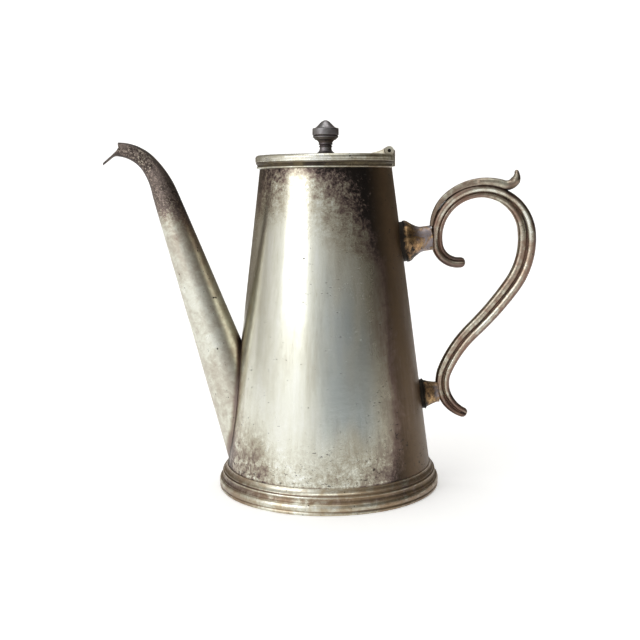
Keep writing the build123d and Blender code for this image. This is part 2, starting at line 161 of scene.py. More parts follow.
def finish_silver(material, place, film, pits, relief, tints=(), stops=TARNISH_STOPS, smooth=0.24,
                  relief_depth=0.4):
    """Plate under a film of tarnish from 0, clean, to 1, black, with pits and relief in it."""
    shader = material.node_tree.nodes["Principled BSDF"]
    film = film.held()
    colour = film.ramp(*stops)
    for tint, share in tints:
        colour = colour.mix(tint, share)
    colour = colour.mix(PIT_COLOUR, pits)
    rough = film * 0.30 + smooth + pits * 0.3
    metal = 1.0 - film.step(0.55, 1.1) * 0.15 - pits * 0.4
    height = grain(place, 900, 2.0) * 0.12 - pits * 0.9 + relief
    depth = {"Strength": relief_depth, "Distance": RELIEF_DISTANCE, "Height": height}
    looks = {
        "Base Color": colour,
        "Roughness": rough,
        "Metallic": metal.held(),
        "Normal": height.node("ShaderNodeBump", None, depth),
    }
    for name, value in looks.items():
        material.node_tree.links.new(value.socket, shader.inputs[name])
    return material


def build_mesh(name, points, faces, material, smooth=True):
    """A mesh object of these points and faces, its normals pointing outwards."""
    mesh = bpy.data.meshes.new(name)
    mesh.from_pydata([tuple(p) for p in points], [], faces)
    mesh.validate()
    made = bpy.data.objects.new(name, mesh)
    bpy.context.scene.collection.objects.link(made)
    if material:
        mesh.materials.append(material)
    bm = bmesh.new()
    bm.from_mesh(mesh)
    bmesh.ops.recalc_face_normals(bm, faces=bm.faces)
    for face in bm.faces:
        face.smooth = smooth
    bm.to_mesh(mesh)
    bm.free()
    return made


def curve_points(outline, step):
    """An outline of corners and (through, end) arcs as points no more than a step apart."""
    here = outline[0]
    points = [here]
    for part in outline[1:]:
        if isinstance(part[0], tuple):
            through, end = part
            points += arc_points(here, through, end, step)
        else:
            end = part
            count = max(1, math.ceil(math.dist(here, end) / step))
            points += [
                (here[0] + (end[0] - here[0]) * i / count, here[1] + (end[1] - here[1]) * i / count)
                for i in range(1, count + 1)
            ]
        here = end
    return points


def to_metres(outline, lift=0.0):
    """An outline written in millimetres, in metres, raised by a lift."""
    return [
        tuple((r * MM, z * MM + lift) for r, z in part) if isinstance(part[0], tuple)
        else (part[0] * MM, part[1] * MM + lift)
        for part in outline
    ]


def arc_points(a, b, c, step):
    """The circle's arc from a through b to c."""
    turn = 2 * (a[0] * (b[1] - c[1]) + b[0] * (c[1] - a[1]) + c[0] * (a[1] - b[1]))
    aa, bb, cc = (p[0] ** 2 + p[1] ** 2 for p in (a, b, c))
    x = (aa * (b[1] - c[1]) + bb * (c[1] - a[1]) + cc * (a[1] - b[1])) / turn
    y = (aa * (c[0] - b[0]) + bb * (a[0] - c[0]) + cc * (b[0] - a[0])) / turn
    radius = math.dist(a, (x, y))
    first, middle, last = (math.atan2(p[1] - y, p[0] - x) for p in (a, b, c))
    sweep = (last - first) % math.tau
    if (middle - first) % math.tau > sweep:
        sweep -= math.tau
    count = max(2, math.ceil(abs(sweep) * radius / step))
    return [
        (x + radius * math.cos(first + sweep * i / count), y + radius * math.sin(first + sweep * i / count))
        for i in range(1, count + 1)
    ]


WELD = 0.004 * MM


def lathe(name, outline, material, turns=256, step=0.6 * MM, place=None, wobble=0.0):
    """A closed outline of (radius, height), turned about Z; place lays the axis elsewhere."""
    ring = curve_points([*outline, outline[0]], step)[:-1]
    points, faces = [], []
    count = len(ring)
    for i in range(turns):
        angle = math.tau * i / turns
        c, s = math.cos(angle), math.sin(angle)
        for r, z in ring:
            point = Vector((r * c, r * s, z))
            if wobble:
                point += Vector((c, s, 0)) * wobble * noise.noise(Vector((c * 1.7, s * 1.7, z * 24)))
            points.append(place @ point if place else point)
    for i in range(turns):
        a, b = i * count, (i + 1) % turns * count
        for j in range(count):
            k = (j + 1) % count
            faces.append((a + j, b + j, b + k, a + k))
    made = build_mesh(name, points, faces, material)
    bm = bmesh.new()
    bm.from_mesh(made.data)
    bmesh.ops.remove_doubles(bm, verts=bm.verts, dist=WELD)
    bmesh.ops.recalc_face_normals(bm, faces=bm.faces)
    bm.to_mesh(made.data)
    bm.free()
    return made


def carve(made, *cutters, keep_cutters=False):
    """Cut solids out of a piece."""
    for cutter in cutters:
        cut = made.modifiers.new("cut", "BOOLEAN")
        cut.operation, cut.solver, cut.object = "DIFFERENCE", "EXACT", cutter
        evaluated = made.evaluated_get(bpy.context.evaluated_depsgraph_get())
        mesh = bpy.data.meshes.new_from_object(evaluated)
        made.modifiers.clear()
        made.data = mesh
        if not keep_cutters:
            bpy.data.objects.remove(cutter)
    bm = bmesh.new()
    bm.from_mesh(made.data)
    bmesh.ops.remove_doubles(bm, verts=bm.verts, dist=0.003 * MM)
    bmesh.ops.dissolve_degenerate(bm, edges=bm.edges, dist=0.002 * MM)
    for face in bm.faces:
        face.smooth = True
    for edge in bm.edges:
        edge.smooth = len(edge.link_faces) != 2 or edge.calc_face_angle(0) < math.radians(32)
    bm.to_mesh(made.data)
    bm.free()
    return made


body_low, body_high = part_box("body_shell")
BASE_RADIUS = 58.0 * MM
MOUTH_RADIUS = 35.3 * MM
BODY_WALL = 1.0 * MM
STRAINER_HEIGHT, STRAINER_PITCH, STRAINER_HOLE_RADIUS = 50.0 * MM, 6.0 * MM, 1.8 * MM
UPPER_SOCKET_HEIGHT, LOWER_SOCKET_HEIGHT = 134.3 * MM, 49.4 * MM
body_top = body_high.z
taper = (BASE_RADIUS - MOUTH_RADIUS) / body_top
SPOUT_START = Vector((-36.9 * MM, 0, 8 * MM))
SPOUT_TILT = math.radians(18.2)
SPOUT_LENGTH = 163.5 * MM
SPOUT_START_RADIUS, SPOUT_NECK_RADIUS = 17.1 * MM, 6.7 * MM
spout_along = Vector((-math.sin(SPOUT_TILT), 0, math.cos(SPOUT_TILT)))


def body_radius(z, inset=0.0):
    """The cone's radius at a height, or that of a cone an inset within it."""
    return BASE_RADIUS - taper * z - inset * math.hypot(1, taper)


def near_spout(place):
    """Millimetres from the spout's surface, in or out, of a point on the body."""
    dot = {"operation": "DOT_PRODUCT"}
    offset = place.node("ShaderNodeVectorMath", {"operation": "SUBTRACT"}, {0: place, 1: SPOUT_START})
    run = place.node("ShaderNodeVectorMath", dot, {0: offset, 1: spout_along}, output=1)
    square = place.node("ShaderNodeVectorMath", dot, {0: offset, 1: offset}, output=1)
    away = (square - run * run).math("SQRT")
    radius = run * ((SPOUT_NECK_RADIUS - SPOUT_START_RADIUS) / SPOUT_LENGTH) + SPOUT_START_RADIUS
    return ((away - radius) * 1000).math("ABSOLUTE")


def near_point(place, x, z):
    """Millimetres from a point in the plane of the handle and spout, given in millimetres."""
    point = (x * MM, 0, z * MM)
    offset = place.node("ShaderNodeVectorMath", {"operation": "SUBTRACT"}, {0: place, 1: point})
    return place.node("ShaderNodeVectorMath", {"operation": "LENGTH"}, {0: offset}, output=1) * 1000


STEEL_BLUE = (0.40, 0.50, 0.56, 1)
COFFEE_BROWN = (0.34, 0.21, 0.10, 1)


def body_material():
    """Tarnished at the top and the foot; a painted highlight at the front left, painted shade at both edges
    and the right, partly tarnish, and painted blue and brown reflections.
    """
    material, place = new_material("body_silver")
    x, y, z = split(place)
    side = x.math("ARCTAN2", 0.0 - y)
    z = z * 1000
    clouds = grain(place, 26, 4.0, warp=0.6)
    streaks = grain(place, 75, 4.0, stretch=(1, 1, 0.13), offset=(0.3, 0, 0), rough=0.65)
    mottle = grain(place, 190, 6.0, rough=0.75, warp=0.5)
    speck = grain(place, 700, 3.0, rough=0.75)
    # Masks by the angle seen from the camera; the film they add is painted shade, partly tarnish.
    front_right = side.step(-0.75, 0.75)
    left_edge = side.step(-0.85, -1.35)
    right_edge = side.step(0.55, 1.0)
    brushed = grain(place, 260, 4.0, stretch=(1, 1, 0.07), offset=(2, 0, 5), rough=0.7)
    film = clouds * 0.24 + streaks * 0.26 + brushed * 0.26 + mottle * 0.10 - 0.30
    # Painted shade, partly tarnish: the film thickens towards the right side.
    film = film + front_right * (streaks * 0.18 + 0.03)
    film = film + side.step(0.30, 0.95) * (streaks * 0.3 + mottle * 0.3 + 0.15)
    top_line = z + (clouds - 0.5) * 34 + (front_right - 0.5) * 20
    top = top_line.step(128, 180)
    # A painted highlight: in a band at the front left, where the soft light is reflected, the top's tarnish
    # is thinned and paler.
    painted_highlight_band = (side + 0.42).math("ABSOLUTE").step(0.30, 0.06)
    # Painted shade in the top's tarnish: heavier towards the right and the left edge.
    blackest = side.step(-0.15, 0.90) * 0.75 + side.step(-0.50, -0.85) * 0.35 + 0.62
    film = film + top * (mottle * 2.1 + speck * 2.4 - 1.60) * (blackest - painted_highlight_band * 0.38)
    # Painted shadow under the rim moulding, partly tarnish, heavier towards the right.
    film = film + z.step(168, 175) * (mottle * 0.8 + 0.05) * (front_right * 0.6 + 0.4)
    foot = (z + (mottle - 0.5) * 26).step(44, 8)
    film = film + foot * (mottle * 1.15 + speck * 0.7 + clouds * 0.4 + right_edge * 0.3 - 1.0)
    # Painted shade, partly tarnish: darker low on the left and along both edges.
    film = film + side.step(-0.42, -0.80) * z.step(56, 20) * (mottle * 0.8 + speck * 0.3 - 0.30)
    film = film + left_edge * (clouds * 0.5 + mottle * 0.9 - 0.22) * (top * 0.8 + foot * 0.4 + 0.30)
    film = film + right_edge * (streaks * 0.5 + mottle * 0.4 - 0.05)
    film = film + (z - 13.0).math("ABSOLUTE").step(0.7, 0.1) * 0.18
    film = film + near_spout(place).step(3.4, 0.6) * x.step(0.0, -0.01) * 0.55
    film = film + near_point(place, 40.8, 134.3).step(15.5, 11.0) * (mottle + 0.25)
    film = film + near_point(place, 51.7, 49.4).step(12.0, 8.4) * (mottle + 0.25)
    pit_choice = grain(place, 60, 3.0, offset=(2, 1, 0), rough=0.6)
    pits = grain(place, 640, 3.0, stretch=(0.6, 0.6, 1.3), offset=(3, 2, 0), rough=0.6)
    pits = (pits + pit_choice * 0.30 + foot * 0.085 + top * 0.04).step(0.82, 0.89) * 0.8
    dash_at = place.node("ShaderNodeMapping", None, {"Vector": place, "Rotation": (0, 0.35, 0)})
    dashes = cells(dash_at, 190, stretch=(3.2, 3.2, 0.75)).step(0.13, 0.06)
    dashes = dashes * grain(place, 50, 3.0, offset=(9, 3, 1)).step(0.58, 0.66) * z.step(110, 20) * 0.6
    hairs = grain(place, 150, 2.0, stretch=(9, 9, 0.9), offset=(5, 0, 0)).step(0.68, 0.76) * 0.35
    film = film + hairs * 0.35
    relief = clouds * 1.2 + mottle * film.held() * 0.7 - hairs * 0.5 + streaks * 0.25
    # A painted reflection: a steel-blue cast across the front, where the room behind the camera is
    # reflected.
    painted_blue_reflection = grain(place, 30, 3.0, stretch=(1, 1, 0.22), offset=(0, 4, 2)).step(0.44, 0.60)
    painted_blue_reflection = painted_blue_reflection * z.step(150, 95) * z.step(26, 48) * side.step(-0.25, 0.10) * side.step(0.60, 0.30)
    # A painted reflection of the warm, dark room at both edges, partly brown tarnish.
    edge_tarnish_and_reflection = right_edge.math("MAXIMUM", left_edge * 0.45) * (0.35 + mottle * 0.5)
    return finish_silver(
        material, place, film, pits.math("MAXIMUM", dashes), relief,
        tints=[(STEEL_BLUE, painted_blue_reflection * 0.5), (COFFEE_BROWN, edge_tarnish_and_reflection.held() * 0.55)],
        smooth=0.15, relief_depth=0.22,
    )


def dented(point):
    """How far the sheet stands off the true cone there, in long and short hammered waves."""
    angle = math.atan2(point.y, point.x)
    c, s = math.cos(angle), math.sin(angle)
    wave = noise.noise(Vector((c * 1.3, s * 1.3, point.z * 11))) * 0.10
    wave += noise.noise(Vector((c * 4.0 + 7, s * 4.0, point.z * 42))) * 0.03
    return wave * MM


def body_shell():
    """The cone's wall, inside and out, closed at both ends and pierced behind the spout."""
    turns, rows = 320, 150
    bottom = body_low.z
    points, faces = [], []
    heights = [bottom + (body_top - bottom) * i / rows for i in range(rows + 1)]
    column = [(z, 0.0) for z in heights] + [(z, BODY_WALL) for z in reversed(heights)]
    for i in range(turns):
        angle = math.tau * i / turns
        for z, inset in column:
            r = body_radius(z, inset)
            point = Vector((r * math.cos(angle), r * math.sin(angle), z))
            ends = min(1.0, (z - bottom) / (16 * MM), (body_top - z) / (8 * MM))
            point += Vector((math.cos(angle), math.sin(angle), 0)) * dented(point) * ends
            points.append(point)
    count = len(column)
    for i in range(turns):
        a, b = i * count, (i + 1) % turns * count
        for j in range(count):
            k = (j + 1) % count
            faces.append((a + j, b + j, b + k, a + k))
    made = build_mesh("body_shell_plated", points, faces, body_material())
    return carve(made, *strainer_drills())


def strainer_drills():
    """Rods along -X in a hexagon of rows, to drill the strainer with."""
    start, length = -30 * MM, 40 * MM
    radius = STRAINER_HOLE_RADIUS
    along_x = Matrix.Rotation(-math.pi / 2, 4, "Y")
    drills = []
    for row in range(-2, 3):
        z = STRAINER_HEIGHT + row * STRAINER_PITCH * math.sin(math.pi / 3)
        for column in range(5 - abs(row)):
            y = (column - (4 - abs(row)) / 2) * STRAINER_PITCH
            at = Matrix.Translation((start, y, z)) @ along_x
            outline = [(0, 0), (radius, 0), (radius, length), (0, length)]
            drills.append(lathe("drill", outline, None, turns=24, step=length, place=at))
    return drills


body = body_shell()
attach(body, "pot")
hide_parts("body_shell")


# ---------------------------------------------------------------------------------------------
# Base plate: a dished disc of the same sheet, flanged down inside the wall and soldered, which
# shuts the pot a little above the table. Dull grey below, coffee-brown in the corner above.
# ---------------------------------------------------------------------------------------------
def plated(name, film, clouds, mottle, tone=COFFEE_BROWN, tone_share=0.4, dirt_and_shade=None, pitted=0.5,
           stops=TARNISH_STOPS, smooth=0.24, relief_depth=0.35):
    """Tarnished plate for a smaller piece: an even film, clouds in it, mottling, pits, and a layer of dirt
    and painted shade.
    """
    material, place = new_material(name)
    cloud = grain(place, 48, 4.0, warp=0.5)
    spots = grain(place, 230, 6.0, rough=0.75, warp=0.4)
    layer = cloud * clouds * 1.6 - clouds * 0.8 + spots * mottle * 1.6 - mottle * 0.8 + film
    if dirt_and_shade is not None:
        layer = layer + dirt_and_shade(place, cloud, spots)
    pits = grain(place, 460, 3.0, offset=(3, 2, 0), rough=0.6) + grain(place, 90, 2.0) * 0.28
    pits = pits.step(0.875 - pitted * 0.07, 0.92 - pitted * 0.07)
    warmth = (spots * 0.8 + cloud * 0.8).step(0.6, 1.0) * tone_share
    return finish_silver(material, place, layer, pits, spots * 0.8, tints=[(tone, warmth)], stops=stops,
                         smooth=smooth, relief_depth=relief_depth)


def finish_node(name, material):
    """Give a piece kept as the CAD made it its material."""
    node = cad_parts[name]
    node.data.materials.clear()
    node.data.materials.append(material)
    for polygon in node.data.polygons:
        polygon.material_index = 0


inner_silver = plated("inner_silver", film=0.42, clouds=0.3, mottle=0.4, tone_share=0.5)
finish_node("base_plate", inner_silver)


# ---------------------------------------------------------------------------------------------
# Foot band: drawn silver-plated moulding, rebated and soldered over the body's bottom edge: a
# cavetto, a bright bead, a step and the wide roll the pot stands on, worn to brass at the table.
# ---------------------------------------------------------------------------------------------
def foot_dirt_and_shade(place, cloud, spots):
    """Dirt in two fine lines and along the flat between them, and painted shade towards both sides."""
    x, y, z = split(place)
    z = z * 1000
    side = x.math("ARCTAN2", 0.0 - y)
    thin = (z - 9.5).math("ABSOLUTE").step(0.55, 0.1) + (z - 1.9).math("ABSOLUTE").step(0.4, 0.1) * 0.6
    band = z.step(5.2, 6.2) * z.step(8.7, 8.0)
    polish = (z - 9.0).math("ABSOLUTE").step(0.5, 0.1) + (z - 4.6).math("ABSOLUTE").step(0.9, 0.2)
    layer = thin * (spots * 0.4 + 0.25) + band * (spots * 0.9 + cloud * 0.3 - 0.32)
    # Painted shade, partly tarnish: darker towards the right and the left as seen from the camera.
    sides = side.step(-0.3, 1.1) * (spots * 0.5 + 0.1) + side.step(-0.45, -0.95) * (spots * 0.4 + 0.08)
    return layer + sides - polish * 0.12


FOOT_HEIGHT, FOOT_REBATE = 12.8, 1.6
foot_outline = to_metres([
    (body_radius(FOOT_HEIGHT * MM) / MM, FOOT_HEIGHT), (56.75, 12.72), ((57.25, 11.3), (58.5, 10.2)),
    (58.7, 9.75), (58.55, 9.45), ((59.35, 8.9), (59.25, 8.1)), ((59.3, 7.0), (59.75, 6.2)),
    (60.1, 5.95), (60.05, 5.6), (60.45, 5.45), ((61.15, 4.2), (61.05, 2.3)), (60.75, 2.05),
    (60.8, 1.75), ((61.1, 1.3), (60.85, 0.15)), (60.6, 0.0),
])
rebate_top = FOOT_REBATE * MM
foot_inner = body_radius(rebate_top, BODY_WALL)
foot_outline += [(foot_inner, 0.0), (foot_inner, rebate_top), (body_radius(rebate_top), rebate_top)]
foot_silver = plated("foot_silver", film=0.25, clouds=0.3, mottle=0.45, tone=(0.50, 0.36, 0.20, 1),
                     tone_share=0.42, dirt_and_shade=foot_dirt_and_shade, pitted=0.75)
foot = lathe("foot_band_moulded", foot_outline, foot_silver, step=0.35 * MM, wobble=0.12 * MM)
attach(foot, "pot")
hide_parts("foot_band")


# ---------------------------------------------------------------------------------------------
# Rim band: the thin moulding round the mouth, soldered on, with a lip, a cavetto darkened by the
# lid's painted shadow and by dirt, and a broad edge under the lid; notched at the handle side for
# the hinge's strap.
# ---------------------------------------------------------------------------------------------
def block(low, high):
    """A box to cut with, its corners in millimetres."""
    corners = [Vector(corner) * MM for corner in itertools.product(*zip(low, high))]
    sides = [(0, 1, 3, 2), (4, 6, 7, 5), (0, 4, 5, 1), (2, 3, 7, 6), (0, 2, 6, 4), (1, 5, 7, 3)]
    return build_mesh("block", corners, sides, None, smooth=False)


def rim_shadow_and_dirt(place, cloud, spots):
    """Near black in the cavetto, the lid's painted shadow with dirt, and painted shade towards the handle's
    side, partly brown film.
    """
    x, y, z = split(place)
    # Painted shadow of the lid over the cavetto, with dirt in it.
    lid_shadow_and_dirt = (z * 1000 - 176.4).math("ABSOLUTE").step(1.25, 0.7)
    # Painted shade, partly tarnish: darker towards the right, the handle's side, as seen from the camera.
    right_side_shade = x.math("ARCTAN2", 0.0 - y).step(-0.6, 0.9)
    return lid_shadow_and_dirt * (spots * 0.9 + 0.35) + right_side_shade * (spots * 0.3 + 0.12)


STRAP_HALF = 12.0
RIM_BOTTOM = 174.2
rim_outline = to_metres([
    (body_radius(RIM_BOTTOM * MM) / MM, RIM_BOTTOM), (36.3, 174.25), (36.9, 174.55),
    ((37.45, 174.95), (37.3, 175.3)), (37.05, 175.5), ((37.15, 176.3), (37.75, 177.0)),
    (37.85, 177.15), (37.85, 177.5), (body_radius(body_top) / MM, body_top / MM),
])
rim_silver = plated("rim_silver", film=0.22, clouds=0.3, mottle=0.4, tone=(0.45, 0.36, 0.20, 1),
                    tone_share=0.35, dirt_and_shade=rim_shadow_and_dirt)
rim = lathe("rim_band_moulded", rim_outline, rim_silver, step=0.25 * MM)
carve(rim, block((30, -STRAP_HALF, 170), (40, STRAP_HALF, 180)))
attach(rim, "pot")
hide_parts("rim_band")


# ---------------------------------------------------------------------------------------------
# Spout: sheet rolled and seamed into a long cone, its neck bent forward and its end cut open to
# a drooping lip; soldered to the wall over the strainer. Bright below, near black at the beak.
# ---------------------------------------------------------------------------------------------
SPOUT_WALL = 0.8
STRAIGHT_STATIONS = 60
SPOUT_BENDS = [(45.0, 20.0, 5.0), (22.5, 51.8, 3.9), (8.0, 38.0, 4.1)]
LIP_LENGTH, LIP_END_RADIUS = 6.5, 4.0
MOUTH_CUT = [(0.1, 8.0), (1.9, 0.9), (0.6, -0.9), (-7.0, -7.2), (-8.6, -13.0), (-20.0, -13.0), (-20.0, 8.0)]


def walk(x, y, heading, size, arcs, step):
    """Points along tangent arcs, as (x, y, heading, size, arc number, run along all of them)."""
    run = 0.0
    stations = [(x, y, heading, size, 0, run)]
    for number, (radius, turn, end_size) in enumerate(arcs):
        count = max(1, math.ceil(radius * abs(math.radians(turn)) / step))
        chord = 2 * radius * math.sin(math.radians(abs(turn)) / count / 2)
        for i in range(1, count + 1):
            middle = math.radians(heading + turn / count / 2)
            x, y = x + chord * math.cos(middle), y + chord * math.sin(middle)
            heading += turn / count
            run += chord
            stations.append((x, y, heading, size + (end_size - size) * i / count, number, run))
        size = end_size
    return stations


def skin(name, rings, material):
    """A closed skin over rings of the same number of points, with a point at the middle of each end."""
    count = len(rings[0])
    points = [p for ring in rings for p in ring]
    faces = []
    for i in range(len(rings) - 1):
        a, b = i * count, (i + 1) * count
        for j in range(count):
            k = (j + 1) % count
            faces.append((a + j, a + k, b + k, b + j))
    for ring, first in ((rings[0], 0), (rings[-1], (len(rings) - 1) * count)):
        points.append(sum((Vector(p) for p in ring), Vector()) / count)
        faces += [(first + j, first + (j + 1) % count, len(points) - 1) for j in range(count)]
    return build_mesh(name, points, faces, material)


def spout_stations():
    """Where the tube runs, as (x, z, heading, radius, bend number), in millimetres."""
    start = SPOUT_START / MM
    straight = []
    for i in range(STRAIGHT_STATIONS):
        share = i / STRAIGHT_STATIONS
        at = start + spout_along * (SPOUT_LENGTH / MM) * share
        radius = (SPOUT_START_RADIUS + (SPOUT_NECK_RADIUS - SPOUT_START_RADIUS) * share) / MM
        straight.append((at.x, at.z, 90 + math.degrees(SPOUT_TILT), radius, 0))
    neck = start + spout_along * SPOUT_LENGTH / MM
    bent = walk(neck.x, neck.z, 90 + math.degrees(SPOUT_TILT), SPOUT_NECK_RADIUS / MM, SPOUT_BENDS, 0.7)
    x, z, heading, radius = bent[-1][:4]
    c, s = math.cos(math.radians(heading)), math.sin(math.radians(heading))
    lip = [
        (x + LIP_LENGTH * share * c, z + LIP_LENGTH * share * s, heading,
         radius + (LIP_END_RADIUS - radius) * share, len(SPOUT_BENDS))
        for share in (i / 8 for i in range(1, 9))
    ]
    return straight + [station[:5] for station in bent] + lip


def spout_skin(inset, material):
    """The tube's outside, or with an inset its bore; the seam makes a soft ridge along the beak."""
    rings = []
    for x, z, heading, radius, number in spout_stations():
        across = Vector((math.cos(math.radians(heading + 90)), 0, math.sin(math.radians(heading + 90))))
        fold = min(1.0, max(0.0, (z - 160) / 12))
        ring = []
        for j in range(72):
            turn = math.tau * j / 72
            ridge = math.exp(-((math.degrees(abs(math.remainder(turn, math.tau))) - 128) / 13) ** 2)
            r = (radius - inset) * (1 + 0.07 * fold * ridge - 0.035 * fold * (1 - ridge))
            p = Vector((x, 0, z)) + across * r * math.cos(turn) + Vector((0, r * math.sin(turn), 0))
            if not inset:
                wave = noise.noise(Vector((p.x * 0.06, p.y * 0.06, p.z * 0.02))) * 0.16
                p += (across * math.cos(turn) + Vector((0, math.sin(turn), 0))) * wave
            ring.append(p * MM)
        rings.append(ring)
    return skin("spout_tube", rings, material)


def off_wall(place):
    """Millimetres a point stands off the body's wall."""
    x, y, z = split(place)
    away = (x * x + y * y).math("SQRT")
    return (away + z * taper - BASE_RADIUS).math("ABSOLUTE") * 1000


def spout_dirt_and_shade(place, cloud, spots):
    """Near black at the beak with painted glints where it faces the camera, painted shade along the back
    and the lower front edge, partly brown tarnish, and brown round the root.
    """
    x, y, z = split(place)
    z, x = z * 1000, x * 1000
    upper = (z + (cloud - 0.5) * 30 + (spots - 0.5) * 16).step(136, 166)
    # Painted shade, partly brown tarnish: along the back, towards the body, and along the lower front edge.
    back_shade_and_tarnish = (x + z * 0.329 + 33.0).step(-2, 10) * z.step(110, 150)
    edge = (x + z * 0.329 + 50.0).step(0, -8) * z.step(90, 50)
    root = off_wall(place).step(3.0, 0.6)
    # Painted glints: pale specks on the beak where it faces the camera and the light is reflected.
    faces_camera = (y * 1000).step(-1.5, -4.0)
    painted_glints = grain(place, 900, 4.0, rough=0.8, offset=(1, 1, 1)).step(0.47, 0.58) * faces_camera
    beak = upper * (0.78 - painted_glints * 0.55)
    return beak + (back_shade_and_tarnish + edge * 1.5) * (spots * 0.3 + 0.18) + root * 0.35


spout = spout_skin(0.0, plated(
    "spout_silver", film=0.25, clouds=0.30, mottle=0.32, tone=(0.42, 0.34, 0.30, 1), dirt_and_shade=spout_dirt_and_shade,
    pitted=0.6, relief_depth=0.5))
spout.name = "spout_seamed"
SOLDER_BITE = 0.1 * MM
wall_solid = lathe("wall", [
    (0, -5 * MM), (body_radius(-5 * MM, SOLDER_BITE), -5 * MM),
    (body_radius(body_top, SOLDER_BITE), body_top), (0, body_top),
], None, step=20 * MM)


def mouth_cutter():
    """A solid as wide as the tube, whose section opens the tube's end to the lip."""
    mouth = [station for station in spout_stations()[STRAIGHT_STATIONS:] if station[4] == 1][-1]
    half, count = 12, len(MOUTH_CUT)
    points = [Vector((mouth[0] + x, y, mouth[1] + z)) * MM for y in (-half, half) for x, z in MOUTH_CUT]
    sides = [tuple(range(count)), tuple(range(2 * count - 1, count - 1, -1))]
    edges = [(i, i + count, (i + 1) % count + count, (i + 1) % count) for i in range(count)]
    return build_mesh("mouth", points, sides + edges, None, smooth=False)


carve(spout, spout_skin(SPOUT_WALL, None), mouth_cutter())
carve(spout, wall_solid, keep_cutters=True)
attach(spout, "pot")
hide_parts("spout")


# ---------------------------------------------------------------------------------------------
# Sockets: two turned brass spools, flange to the wall, soldered square to it; they carry the
# handle clear of the hot body. Their plate has worn through to coppery, pitted, grimy brass.
# ---------------------------------------------------------------------------------------------
def brass(name, seed):
    """Brass under grime, darker near the wall, coppery where the plate has gone, greyer at the end away
    from the wall.
    """
    material, place = new_material(name)
    cloud = grain(place, 120, 5.0, rough=0.7, warp=0.8, offset=(seed, 0, 0))
    spots = grain(place, 420, 5.0, rough=0.75, offset=(0, seed, 0))
    stand_off = off_wall(place)
    # Darker within a few millimetres of the wall.
    darker_near_wall = stand_off.step(3.6, 1.2)
    film = cloud * 2.0 + spots * 1.4 - 0.98 + darker_near_wall * 0.6
    pits = grain(place, 380, 2.0, offset=(seed, 1, 0)).step(0.64, 0.69)
    worn = stand_off.step(6.5, 10.0) * cloud.step(0.40, 0.55)
    copper = grain(place, 90, 3.0, offset=(0, 0, seed)).step(0.44, 0.6)
    bare = copper * (1.0 - film.held()) * 0.6
    return finish_silver(
        material, place, film, pits, cloud * 1.2 + spots * 0.6,
        tints=[((0.62, 0.36, 0.20, 1), bare), ((0.45, 0.40, 0.42, 1), worn * 0.55)],
        stops=[(0.0, (0.86, 0.66, 0.42)), (0.3, (0.60, 0.40, 0.20)), (0.55, (0.28, 0.18, 0.09)),
               (0.8, (0.09, 0.06, 0.035)), (1.0, (0.02, 0.016, 0.012))],
        smooth=0.22, relief_depth=0.7,
    )


def socket(name, height, outline, material):
    """A spool turned to an outline along its axis, set square to the wall and trimmed to it."""
    outward = Vector((1, 0, taper)).normalized()
    turned = outward.to_track_quat("Z", "Y").to_matrix().to_4x4()
    place = Matrix.Translation((body_radius(height), 0, height)) @ turned
    made = lathe(name, to_metres(outline), material, turns=128, step=0.3 * MM, place=place)
    carve(made, wall_solid, keep_cutters=True)
    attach(made, "pot")
    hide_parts(name.replace("_turned", ""))


UPPER_LENGTH, LOWER_LENGTH = 16.6, 9.7
socket("upper_socket_turned", UPPER_SOCKET_HEIGHT, [
    (0, -4.0), (10.9, -4.0), (10.9, 1.7), (11.3, 1.95), (11.35, 2.9), ((11.0, 3.9), (10.3, 4.9)),
    ((9.2, 6.3), (8.2, 7.9)), ((7.2, 9.7), (6.75, 11.6)), (6.7, UPPER_LENGTH - 0.6),
    (6.9, UPPER_LENGTH), (0, UPPER_LENGTH),
], brass("socket_brass_upper", 1.0))
socket("lower_socket_turned", LOWER_SOCKET_HEIGHT, [
    (0, -4.0), (8.1, -4.0), (8.1, 1.1), (8.5, 1.35), (8.5, 1.7), (8.1, 2.0), (7.7, 2.1),
    ((6.7, 4.6), (6.1, 6.6)), ((5.85, 7.6), (5.8, LOWER_LENGTH)), (0, LOWER_LENGTH),
], brass("socket_brass_lower", 4.0))
bpy.data.objects.remove(wall_solid)


# ---------------------------------------------------------------------------------------------
# Handle scroll: a solid casting in plated brass, two reeds side by side in depth with a groove
# down each face, which sweeps off the upper socket, round the loop and down to a curled foot.
# ---------------------------------------------------------------------------------------------
HANDLE_ARCS = [(11.9, -84.8, 6.4), (24.7, -100.0, 6.8), (24.7, -82.8, 9.9), (42.8, -41.7, 9.9),
               (176.0, -10.6, 9.1), (68.0, 22.6, 8.2), (18.6, 60.0, 7.0), (18.6, 30.2, 5.5)]
HANDLE_START, HANDLE_HEADING, HANDLE_START_DEPTH = (30.4, -15.6), 176.6, 5.8
upper_wall = Vector((body_radius(UPPER_SOCKET_HEIGHT), 0, UPPER_SOCKET_HEIGHT)) / MM
wall_out = Vector((1, 0, taper)).normalized()
wall_up = Vector((-wall_out.z, 0, wall_out.x))


def rounded_end(station, closing):
    """Stations that close a strand in a round end, so many half depths long."""
    x, y, heading, depth, number, run = station
    c, s = math.cos(math.radians(heading)), math.sin(math.radians(heading))
    stations = []
    for turn in range(10, 90, 10):
        t = math.radians(turn)
        away = closing * depth / 2 * math.sin(t)
        stations.append((x + away * c, y + away * s, heading, depth * math.cos(t) ** 0.8, number, run))
    return stations


